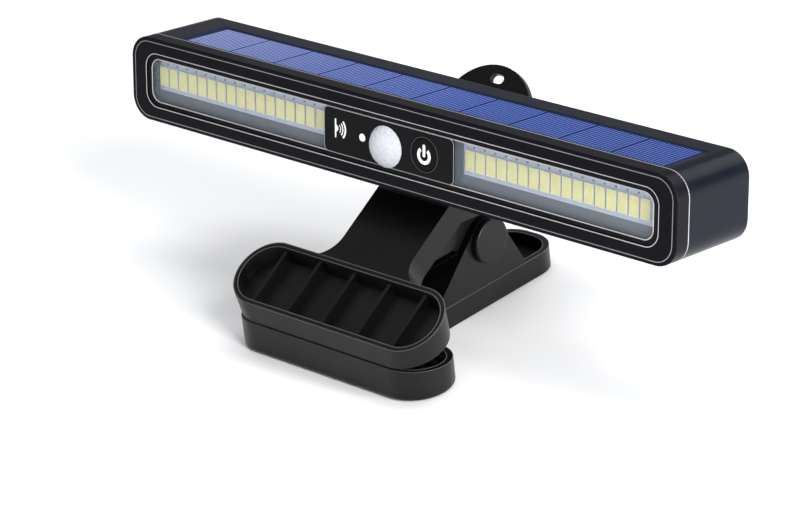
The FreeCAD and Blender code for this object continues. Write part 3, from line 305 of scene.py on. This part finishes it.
def sheen_along_bar(name, stops, roughness):
    """Silicon or print with a painted sheen along the bar: paler at the left end, darker towards
    the right end.
    """
    material, tree, shader = new_material(name)
    coords = node(tree, "ShaderNodeTexCoord")
    parts = node(tree, "ShaderNodeSeparateXYZ")
    tree.links.new(coords.outputs["Object"], parts.inputs["Vector"])
    place = node(tree, "ShaderNodeMapRange", {"From Min": SHEEN_START, "From Max": SHEEN_END})
    tree.links.new(parts.outputs["X"], place.inputs["Value"])
    mixed = node(tree, "ShaderNodeMath", {1: SHEEN_GRAIN})
    mixed.operation = "MULTIPLY_ADD"
    tree.links.new(noise(tree, STREAK_SCALE, 3.0), mixed.inputs[0])
    tree.links.new(place.outputs["Result"], mixed.inputs[2])
    paint(tree, shader, mixed.outputs["Value"], stops)
    put(shader, {"Roughness": roughness, "Specular IOR Level": CELL_SPECULAR})
    return material


# ---------------------------------------------------------------- studio

# Soft boxes: (place, target, (width, height), watts), in metres in the part's frame.
LIGHTS = {
    "key_right": ((0.75, -0.25, 0.55), (0.05, 0, 0.04), (0.25, 0.5), 7.0),
    "top_box": ((-0.1, 0.25, 0.95), (0, 0, 0.05), (0.9, 0.5), 5.5),
    "front_fill": ((0.35, -1.0, 0.35), (0, 0, 0.04), (0.5, 0.3), 1.5),
    "rear_rim": ((0.2, 0.9, 0.5), (0, 0, 0.05), (0.7, 0.3), 2.0),
    "side_rim": ((0.75, 0.12, 0.10), (0.035, -0.02, 0.01), (0.16, 0.16), 6.0),
}
SURROUND_TINT, SURROUND_STRENGTH = (0.93, 0.95, 1.0, 1), 0.32
FLOOR_HALF_SIZE, FLOOR_DROP, FLOOR_WHITE = 3.0, 0.0002, (0.95, 0.95, 0.95, 1)


def mesh_from(bm, name, material):
    """Turns a bmesh into a mesh with one material."""
    mesh = bpy.data.meshes.new(name)
    bm.to_mesh(mesh)
    bm.free()
    mesh.materials.append(material)
    return mesh


def area_light(name, place, target, size, power):
    """A rectangular soft box that faces a point."""
    data = bpy.data.lights.new(name, "AREA")
    data.shape = "RECTANGLE"
    data.size, data.size_y = size
    data.energy = power
    light = link_object(name, data)
    light.location = place
    aim = Vector(target) - Vector(place)
    light.rotation_euler = aim.to_track_quat("-Z", "Y").to_euler()


def make_studio():
    """A white floor, an even pale surround and five soft boxes."""
    scene = bpy.context.scene
    scene.view_settings.view_transform = "Standard"
    world = bpy.data.worlds.new("surround")
    world.use_nodes = True
    put(world.node_tree.nodes["Background"],
        {"Color": SURROUND_TINT, "Strength": SURROUND_STRENGTH})
    scene.world = world
    for name, settings in LIGHTS.items():
        area_light(name, *settings)
    material, _, shader = new_material("floor_white")
    put(shader, {"Base Color": FLOOR_WHITE, "Roughness": 0.9, "Specular IOR Level": 0.1})
    bm = bmesh.new()
    bmesh.ops.create_grid(bm, x_segments=8, y_segments=8, size=FLOOR_HALF_SIZE)
    floor = link_object("floor", mesh_from(bm, "floor", material))
    floor.location.z = -FLOOR_DROP


make_studio()


# ---------------------------------------------------------------- mesh helpers

def piece(name, bm, material, body="lamp", matrix=LAMP, smooth=True, replaces=()):
    """Turns a bmesh drawn in millimetres in a frame into a finished piece that rides a body."""
    bmesh.ops.scale(bm, vec=(MM, MM, MM), verts=bm.verts)
    bmesh.ops.recalc_face_normals(bm, faces=bm.faces)
    mesh = mesh_from(bm, name, material)
    for face in mesh.polygons:
        face.use_smooth = smooth
    made = link_object(name, mesh)
    made.matrix_world = matrix
    if replaces:
        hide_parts(*replaces)
    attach(made, body)


def band(bm, here, there):
    """Faces between two closed rings of the same count."""
    for number in range(len(here)):
        following = (number + 1) % len(here)
        bm.faces.new((here[number], here[following], there[following], there[number]))


def outline_points(length, height, radius, steps, middle_x=0.0):
    """A rounded rectangle as (point, outward direction) pairs in X and Z."""
    points = []
    for quarter, (sx, sz) in enumerate(((1, 1), (-1, 1), (-1, -1), (1, -1))):
        centre = (middle_x + sx * (length / 2 - radius), sz * (height / 2 - radius))
        for step in range(steps + 1):
            angle = math.pi / 2 * (quarter + step / steps)
            out = (math.cos(angle), math.sin(angle))
            points.append(((centre[0] + radius * out[0], centre[1] + radius * out[1]), out))
    return points


def bead_loop(bm, outline, depth, bead, lean=0.0, sides=8):
    """A round bead along a closed outline.

    A lean turns it from standing out of the front to standing out of the outside.
    """
    across, proud = bead
    rings = []
    for (x, z), (out_x, out_z) in outline:
        ring = []
        for side in range(sides):
            angle = 2 * math.pi * side / sides
            outward = across * math.cos(angle)
            forward = proud * math.sin(angle)
            out_step = outward * math.cos(lean) + forward * math.sin(lean)
            front_step = forward * math.cos(lean) - outward * math.sin(lean)
            ring.append(bm.verts.new((x + out_x * out_step, depth - front_step,
                                      z + out_z * out_step)))
        rings.append(ring)
    for here, there in zip(rings, rings[1:] + rings[:1]):
        band(bm, here, there)


def prism(bm, near, far):
    """A closed solid between two outlines of the same count; gives the near face."""
    near_ring = [bm.verts.new(corner) for corner in near]
    far_ring = [bm.verts.new(corner) for corner in far]
    face = bm.faces.new(near_ring)
    bm.faces.new(list(reversed(far_ring)))
    band(bm, near_ring, far_ring)
    return face


def slab(bm, corners, front, back, edge=0.0):
    """A flat plate from an outline of (x, z) corners, from a front depth to a back depth."""
    face = prism(bm, [(x, front, z) for x, z in corners], [(x, back, z) for x, z in corners])
    if edge:
        bmesh.ops.inset_individual(bm, faces=[face], thickness=edge, depth=edge * EDGE_SLOPE)
    return face


def arc_band(centre, radius, half_width, start, end, steps=20):
    """The outline of a curved band with square ends, as (x, z) corners; angles in degrees."""
    corners = []
    for edge, order in ((radius + half_width, range(steps + 1)),
                        (radius - half_width, range(steps, -1, -1))):
        for step in order:
            angle = math.radians(start + (end - start) * step / steps)
            corners.append((centre[0] + edge * math.cos(angle), centre[1] + edge * math.sin(angle)))
    return corners


def rounded_corners(width, height, radius, x, z, steps=5):
    """The corners of a rounded rectangle about (x, z)."""
    return [(x + px, z + pz) for (px, pz), _ in outline_points(width, height, radius, steps)]


# ---------------------------------------------------------------- materials

case_black = moulded("case_black", (0.002, 0.003, 0.007), (0.004, 0.006, 0.011), 0.30,
                     specular=0.12)
bezel_black = moulded("bezel_black", (0.003, 0.003, 0.005), (0.005, 0.005, 0.008), 0.34,
                      specular=0.08)
clamp_black = moulded("clamp_black", (0.002, 0.002, 0.002), (0.005, 0.005, 0.005), 0.34,
                      grain=1800.0, depth=0.00004, specular=0.24)
seal_black = moulded("seal_black", (0.003, 0.003, 0.003), (0.006, 0.006, 0.006), 0.6,
                     specular=0.15)
# Pale greys for the bead lines on the bar and its panel: painted edge highlights.
painted_highlight_bright = moulded("painted_highlight_bright", (0.50, 0.50, 0.52), (0.62, 0.62, 0.64), 0.4)
painted_highlight_soft = moulded("painted_highlight_soft", (0.32, 0.32, 0.34), (0.42, 0.42, 0.44), 0.4)
# A grey for the bead lines along the clamp's rims: painted rim highlights.
painted_rim_highlight = moulded("painted_rim_highlight", (0.055, 0.055, 0.058), (0.085, 0.085, 0.088), 0.42)
painted_highlight_dim = moulded("painted_highlight_dim", (0.24, 0.24, 0.26), (0.32, 0.32, 0.34), 0.42)
panel_gloss = moulded("panel_gloss", (0.004, 0.004, 0.005), (0.007, 0.007, 0.008), 0.2,
                      grain=500.0, depth=0.000006, specular=0.08)
button_satin = moulded("button_satin", (0.003, 0.003, 0.004), (0.006, 0.006, 0.007), 0.3,
                       specular=0.08)
ring_grey = moulded("ring_grey", (0.05, 0.05, 0.052), (0.075, 0.075, 0.078), 0.4)
# The glowing materials below give the signs, dome, indicator, board and unlit LEDs a painted glow.
sign_white = glowing("sign_white", (0.84, 0.84, 0.84), (0.93, 0.93, 0.93), 0.5, (1, 1, 1), 0.25)
dome_milk = glowing("dome_milk", (0.62, 0.63, 0.68), (0.67, 0.68, 0.72), 0.30, (0.93, 0.94, 1.0),
                    0.03, scale=260.0)
dot_white = glowing("dot_white", (0.85, 0.85, 0.85), (0.95, 0.95, 0.95), 0.4, (1, 1, 1), 0.3)
board_white = glowing("board_white", (0.52, 0.58, 0.72), (0.62, 0.68, 0.82), 0.45,
                      (0.72, 0.8, 1.0), 0.05)
frame_white = glowing("frame_white", (0.68, 0.68, 0.46), (0.78, 0.78, 0.58), 0.4,
                      (0.95, 0.97, 1.0), 0.06)
led_gel = glowing("led_gel", (0.72, 0.68, 0.19), (0.80, 0.76, 0.28), 0.35, (0.95, 0.9, 0.45),
                  0.08, scale=700.0)
mark_grey = moulded("mark_grey", (0.10, 0.11, 0.14), (0.16, 0.17, 0.21), 0.5)
tray_grey = moulded("tray_grey", (0.034, 0.038, 0.050), (0.052, 0.057, 0.070), 0.4)
lens_clear = clear("lens_clear", (0.72, 0.8, 0.95), 0.10)
resin_clear = clear("resin_clear", (0.20, 0.28, 0.60), 0.04, 0.10, waves=0.000004,
                    specular=0.15)
laminate_navy = moulded("laminate_navy", (0.003, 0.004, 0.012), (0.006, 0.007, 0.018), 0.3,
                        specular=0.1)
board_green = moulded("board_green", (0.01, 0.09, 0.03), (0.02, 0.14, 0.05), 0.3)
chip_black = moulded("chip_black", (0.01, 0.01, 0.01), (0.02, 0.02, 0.02), 0.5)
cell_wrap = moulded("cell_wrap", (0.03, 0.12, 0.32), (0.04, 0.17, 0.42), 0.25, coat=0.4)
lead_red = moulded("lead_red", (0.35, 0.02, 0.02), (0.45, 0.03, 0.03), 0.4)
switch_grey = moulded("switch_grey", (0.06, 0.06, 0.065), (0.09, 0.09, 0.095), 0.5)
steel = metal("steel", (0.42, 0.42, 0.43), (0.60, 0.60, 0.61), 0.3)
spring_steel = metal("spring_steel", (0.30, 0.30, 0.31), (0.46, 0.46, 0.47), 0.28, (1, 6, 6))
nickel = metal("nickel", (0.5, 0.48, 0.44), (0.66, 0.63, 0.58), 0.3)
# The cells and their fingers carry a painted sheen: paler at the bar's left end, darker at the
# right.
wafer_blue = sheen_along_bar("wafer_blue", [
    (0.0, (0.07, 0.09, 0.24)), (0.35, (0.016, 0.032, 0.16)),
    (0.65, (0.003, 0.014, 0.11)), (1.0, (0.002, 0.009, 0.085))], 0.4)
finger_blue = sheen_along_bar("finger_blue", [
    (0.0, (0.34, 0.38, 0.62)), (0.35, (0.20, 0.26, 0.58)),
    (0.65, (0.10, 0.165, 0.50)), (1.0, (0.09, 0.145, 0.44))], 0.45)


# ---------------------------------------------------------------- CAD nodes that stay

NODE_MATERIALS = {
    case_black: ("housing",),
    bezel_black: ("front_bezel",),
    seal_black: ("lens_seal",),
    lens_clear: ("window_lens",),
    panel_gloss: ("centre_panel",),
    button_satin: ("power_button",),
    dome_milk: ("pir_dome",),
    dot_white: ("indicator_lens", "indicator_led"),
    led_gel: ("leds_left", "leds_right"),
    board_white: ("led_board_left", "led_board_right"),
    tray_grey: ("led_tray_left", "led_tray_right", "battery_cradle"),
    laminate_navy: ("solar_base",),
    wafer_blue: ("solar_cells",),
    resin_clear: ("solar_resin",),
    clamp_black: ("lower_lever", "upper_lever", "pivot_caps"),
    steel: ("pivot_pin", "tilt_bolt", "tilt_nut", "case_screws"),
    spring_steel: ("torsion_spring",),
    nickel: ("pir_sensor", "battery_contacts"),
    switch_grey: ("tact_switch",),
    board_green: ("main_board",),
    chip_black: ("board_chips",),
    cell_wrap: ("battery_cell",),
    lead_red: ("solar_leads", "battery_leads"),
}
EDGE_ROUNDS = {"upper_lever": 0.35, "lower_lever": 0.35, "housing": 0.2, "front_bezel": 0.15,
               "power_button": 0.15}
EDGE_SEGMENTS, EDGE_ANGLE = 2, 38


def dress_nodes():
    """Gives every carried-over node its material, and small round edges to the mouldings."""
    for material, names in NODE_MATERIALS.items():
        for name in names:
            made = nodes[name]
            if not made.material_slots:
                made.data.materials.append(material)
            for place in made.material_slots:
                place.material = material
    for name, radius in EDGE_ROUNDS.items():
        rounding = nodes[name].modifiers.new("edge_round", "BEVEL")
        rounding.width = radius * MM
        rounding.segments = EDGE_SEGMENTS
        rounding.limit_method = "ANGLE"
        rounding.angle_limit = math.radians(EDGE_ANGLE)
        rounding.harden_normals = True


dress_nodes()


# ---------------------------------------------------------------- pale edge lines, painted highlights

def make_edge_lines():
    """The thin pale lines along the bar's seam, the face's edge, the groove and the window: painted
    highlights on those edges.
    """
    seam = (BAR_LENGTH - SEAM_TRIM, BAR_HEIGHT - SEAM_TRIM, BAR_CORNER)
    # name: (outline, depth, bead, lean, material)
    lines = {
        "seam_line": (seam, SEAM_DEPTH, SEAM_BEAD, math.pi / 2, painted_highlight_dim),
        "face_line": (FACE_LINE, LINE_SINK, FACE_BEAD, 0.0, painted_highlight_dim),
        "groove_line": (GROOVE, GROOVE_SINK, GROOVE_BEAD, 0.0, painted_highlight_bright),
        "window_line": (WINDOW, WINDOW_DEPTH, WINDOW_BEAD, 0.0, painted_highlight_bright),
    }
    for name, (size, depth, bead, lean, material) in lines.items():
        bm = bmesh.new()
        bead_loop(bm, outline_points(*size, steps=14), depth, bead, lean)
        piece(name, bm, material)
    bm = bmesh.new()
    outline = outline_points(*PANEL, steps=8, middle_x=PANEL_X)
    bead_loop(bm, outline, PANEL_FRONT + LINE_SINK, PANEL_BEAD)
    piece("panel_line", bm, painted_highlight_soft)


def rim_frame(y, z, slope):
    """A frame on the clamp: its front (-Y) looks up out of an inclined plane, its Z runs back."""
    lean = math.radians(slope)
    return axes_matrix((1, 0, 0), (0, math.sin(lean), -math.cos(lean)),
                       (0, math.cos(lean), math.sin(lean)), (0, y * MM, z * MM))


def make_rim_lines():
    """Paler beads along the rims of both jaws and of the handle's tray: painted highlights on the
    rim edges.
    """
    def trimmed(size, trim, corner):
        return size[0] - trim, size[1] - trim, corner

    # name: (body, place of the rim's middle, outline)
    rims = {
        "tray_outer_line": ("arm", TRAY_RIM,
                            trimmed(TRAY_SIZE, OUTER_TRIM, TRAY_OUTER_CORNER)),
        "tray_inner_line": ("arm", TRAY_RIM,
                            trimmed(TRAY_SIZE, TRAY_INNER_TRIM, TRAY_INNER_CORNER)),
        "jaw_outer_line": ("clamp", JAW_RIM,
                           trimmed(JAW_SIZE, OUTER_TRIM, JAW_OUTER_CORNER)),
        "jaw_inner_line": ("clamp", JAW_RIM,
                           trimmed(JAW_SIZE, JAW_INNER_TRIM, JAW_INNER_CORNER)),
        "handle_line": ("clamp", HANDLE_INNER, HANDLE_INNER_SIZE),
        "handle_edge": ("clamp", HANDLE_OUTER, HANDLE_OUTER_SIZE),
    }
    for name, (body, place, size) in rims.items():
        bm = bmesh.new()
        bead_loop(bm, outline_points(*size, steps=16), LINE_SINK, RIM_BEAD)
        piece(name, bm, painted_rim_highlight, body=body, matrix=rim_frame(*place))


make_rim_lines()
make_edge_lines()


# ---------------------------------------------------------------- LEDs

def make_led_rows():
    """Each LED: a white package with a softly domed gel window, and its marks on the board."""
    def lay(bm, size, depths, x, z, steps, edge=0.0):
        front, back = depths
        corners = rounded_corners(*size, x, z, steps)
        return slab(bm, corners, LED_FACE + front, LED_FACE + back, edge)

    top = LED_RAISE + LED_HEIGHT / 2
    for side, (start, pitch) in LED_ROWS.items():
        frames, gels, marks = bmesh.new(), bmesh.new(), bmesh.new()
        for number in range(LED_COUNT):
            x = start + number * pitch + math.copysign(LED_WIDTH / 2, pitch)
            lay(frames, PACKAGE, PACKAGE_DEPTHS, x, LED_RAISE, 3, PACKAGE_EDGE)
            face = lay(gels, GEL, GEL_DEPTHS, x, LED_RAISE, 5)
            bmesh.ops.inset_individual(gels, faces=[face], thickness=GEL_SHOULDER, depth=GEL_RISE)
            lay(marks, PAD, PAD_DEPTHS, x + PAD_SHIFT, top + PAD_ABOVE, 3)
            lay(marks, GAP_BAR, GAP_DEPTHS, x - GAP_SHIFT, LED_RAISE - GAP_DROP, 2)
        piece(f"led_packages_{side}", frames, frame_white, smooth=False,
              replaces=(f"leds_{side}",))
        piece(f"led_gels_{side}", gels, led_gel, smooth=False)
        piece(f"pad_marks_{side}", marks, mark_grey, smooth=False)


make_led_rows()


# ---------------------------------------------------------------- sensor dome

def dome_ring(bm, count, radius, y):
    """A ring of corners round the dome's axis."""
    angles = [math.pi * (2 * number + 1) / count for number in range(count)]
    return [bm.verts.new((radius * math.cos(angle), y, radius * math.sin(angle) - DOME_DROP))
            for angle in angles]


def join_rings(bm, inner, outer):
    """Facets between two rings of unequal count: walks both round together."""
    def angle(vert):
        return math.atan2(vert.co.z + DOME_DROP, vert.co.x) % (2 * math.pi)

    def unwrapped(ring, step):
        """The angle of a ring's corner, counted on over a full turn."""
        return angle(ring[step % len(ring)]) + 2 * math.pi * (step // len(ring))

    inner = sorted(inner, key=angle)
    outer = sorted(outer, key=angle)
    a = b = 0
    while a < len(inner) or b < len(outer):
        here = (inner[a % len(inner)], outer[b % len(outer)])
        outer_first = unwrapped(outer, b + 1) <= unwrapped(inner, a + 1)
        if b < len(outer) and (outer_first or a >= len(inner)):
            b += 1
            bm.faces.new((*here, outer[b % len(outer)]))
        else:
            a += 1
            bm.faces.new((*here, inner[a % len(inner)]))


def make_dome():
    """Fresnel dome: rings of flat facets with fine grooves, on a small round lip."""
    ball = (DOME_RADIUS ** 2 + DOME_RISE ** 2) / (2 * DOME_RISE)
    middle_y = PANEL_FRONT - DOME_RISE + ball
    widest = math.asin(DOME_RADIUS / ball)
    bm = bmesh.new()
    rings = [dome_ring(bm, count, ball * math.sin(widest * part),
                       middle_y - ball * math.cos(widest * part)) for part, count in DOME_RINGS]
    bm.faces.new(rings[0])
    for inner, outer in zip(rings, rings[1:]):
        join_rings(bm, inner, outer)
    bmesh.ops.recalc_face_normals(bm, faces=bm.faces)
    bmesh.ops.inset_individual(bm, faces=list(bm.faces), thickness=FACET_INSET, depth=FACET_DEPTH)
    rim = rings[-1]
    lips = [dome_ring(bm, len(rim), DOME_RADIUS - less, PANEL_FRONT + depth)
            for less, depth in DOME_LIPS]
    for here, there in zip([rim] + lips, lips):
        band(bm, here, there)
    piece("fresnel_dome", bm, dome_milk, smooth=False, replaces=("pir_dome",))


make_dome()


# ---------------------------------------------------------------- signs on the control panel

def print_depths(surface):
    """The front and back depths of a print on a surface."""
    return surface - SIGN_HALF_DEPTH, surface + SIGN_HALF_DEPTH


def make_signs():
    """Power sign on the button, the ring round it, and a plain sensor-wave sign."""
    bm = bmesh.new()
    depths = print_depths(BUTTON_FRONT)
    centre = (BUTTON_X, -POWER_DROP)
    arc = arc_band(centre, POWER_RADIUS, POWER_HALF_WIDTH, 90 + POWER_GAP, 450 - POWER_GAP,
                   steps=40)
    slab(bm, arc, *depths)
    slab(bm, rounded_corners(*POWER_BAR, centre[0], centre[1] + POWER_BAR_RAISE), *depths)
    piece("power_sign", bm, sign_white, body="button", smooth=False)

    bm = bmesh.new()
    radius = BUTTON_RADIUS + RING_GAP
    angles = [2 * math.pi * number / RING_SIDES for number in range(RING_SIDES)]
    ring = [((BUTTON_X + radius * math.cos(angle), radius * math.sin(angle)),
             (math.cos(angle), math.sin(angle))) for angle in angles]
    bead_loop(bm, ring, PANEL_FRONT, RING_BEAD)
    piece("button_ring", bm, ring_grey)

    bm = bmesh.new()
    depths = print_depths(PANEL_FRONT)
    slab(bm, rounded_corners(*WAVE_BAR, WAVE_X, WAVE_Z), *depths)
    slab(bm, [(WAVE_X + x, WAVE_Z + z) for x, z in WAVE_HORN], *depths)
    for radius, half_width in WAVE_BANDS:
        arc = arc_band((WAVE_X + WAVE_SOURCE, WAVE_Z), radius, half_width,
                       -WAVE_SPREAD, WAVE_SPREAD)
        slab(bm, arc, *depths)
    piece("wave_sign", bm, sign_white, smooth=False)


make_signs()


# ---------------------------------------------------------------- solar panel

def make_fingers():
    """Printed contact fingers across each wafer."""
    base = ROOF - CELL_SINK
    half = FINGER_WIDTH / 2
    bm = bmesh.new()
    for cell in range(CELL_COUNT):
        middle = (cell - (CELL_COUNT - 1) / 2) * CELL_PITCH + CELL_SHIFT
        for finger in range(FINGER_COUNT):
            x = middle + (finger - (FINGER_COUNT - 1) / 2) * FINGER_PITCH
            corners = [(x - half, WAFER_FRONT), (x + half, WAFER_FRONT),
                       (x + half, WAFER_REAR), (x - half, WAFER_REAR)]
            prism(bm, [(px, py, base + FINGER_TOP) for px, py in corners],
                  [(px, py, base + FINGER_BOTTOM) for px, py in corners])
    piece("solar_fingers", bm, finger_blue, smooth=False)


make_fingers()
